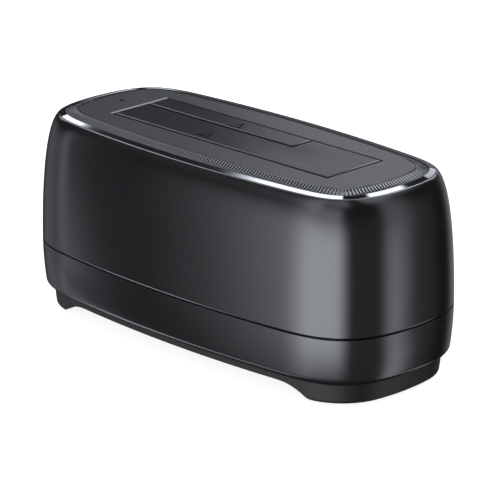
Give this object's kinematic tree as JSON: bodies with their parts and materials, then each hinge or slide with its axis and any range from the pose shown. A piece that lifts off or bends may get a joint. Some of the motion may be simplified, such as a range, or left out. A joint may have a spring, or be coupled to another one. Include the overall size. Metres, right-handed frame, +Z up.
{
  "type": "ssd docking station",
  "caption": "Upright desktop drive dock with a rounded moulded housing, nested sprung flap doors over a drive bay, and a rear panel with power and data ports.",
  "frame": {"origin": "centre of the outline on the plane the rubber pads rest on", "axes": "+X along the long side to the right, +Y to the rear where the ports are, +Z up"},
  "size_m": [0.167, 0.0768, 0.0734],
  "materials": {
    "shell_plastic": "satin",
    "plinth_plastic": "matte",
    "pad_rubber": "matte",
    "trim_gloss": "polished",
    "knurl_plastic": "knurled",
    "deck_plastic": "satin",
    "door_plastic": "satin",
    "liner_plastic": "matte",
    "rod_steel": "bright",
    "spring_steel": "drawn",
    "board_laminate": "solder mask",
    "socket_plastic": "moulded",
    "contact_gold": "plated",
    "chip_epoxy": "moulded",
    "can_metal": "drawn",
    "core_ferrite": "pressed",
    "port_steel": "drawn",
    "port_plastic": "moulded",
    "button_plastic": "satin",
    "lamp_epoxy": "clear",
    "pipe_clear": "clear",
    "screw_steel": "zinc plated"
  },
  "bodies": {
    "housing": {"upper_shell": "shell_plastic", "base_shell": "shell_plastic", "plinth": "plinth_plastic", "rubber_pads": "pad_rubber", "trim_ring": "trim_gloss", "knurled_ring": "knurl_plastic", "top_deck": "deck_plastic", "hinge_rod": "rod_steel", "large_door_spring": "spring_steel", "small_door_spring": "spring_steel", "bay_liner": "liner_plastic", "main_board": "board_laminate", "sata_socket": "socket_plastic", "sata_contacts": "contact_gold", "bridge_chip": "chip_epoxy", "clock_crystal": "can_metal", "power_inductor": "core_ferrite", "filter_capacitors": "can_metal", "usb_socket": "port_steel", "usb_tongue": "port_plastic", "dc_jack": "port_plastic", "dc_pin": "contact_gold", "power_switch": "socket_plastic", "status_lamp": "lamp_epoxy", "light_pipe": "pipe_clear", "bay_screws": "screw_steel", "board_screws": "screw_steel", "base_screws": "screw_steel"},
    "large_door": {"large_door": "door_plastic"},
    "small_door": {"small_door": "door_plastic"},
    "power_button": {"power_button": "button_plastic"}
  },
  "joints": [
    {"name": "large_door_hinge", "type": "hinge", "parent": "housing", "child": "large_door", "pos_m": [0, 0.0195, 0.0687], "axis": [1, 0, 0], "range_deg": [0, 90], "stiffness_Nm_per_rad": 0.004, "springref_deg": -45.84, "deforming": ["large_door_spring"]},
    {"name": "small_door_hinge", "type": "hinge", "parent": "housing", "child": "small_door", "pos_m": [0, 0.0195, 0.0687], "axis": [1, 0, 0], "range_deg": [0, 90], "stiffness_Nm_per_rad": 0.0015, "springref_deg": -45.84, "deforming": ["small_door_spring"]},
    {"name": "power_button_slide", "type": "slide", "parent": "housing", "child": "power_button", "axis": [0, -1, 0], "range_m": [0, 0.0012], "stiffness_N_per_m": 600, "springref_m": -0.0008}
  ]
}
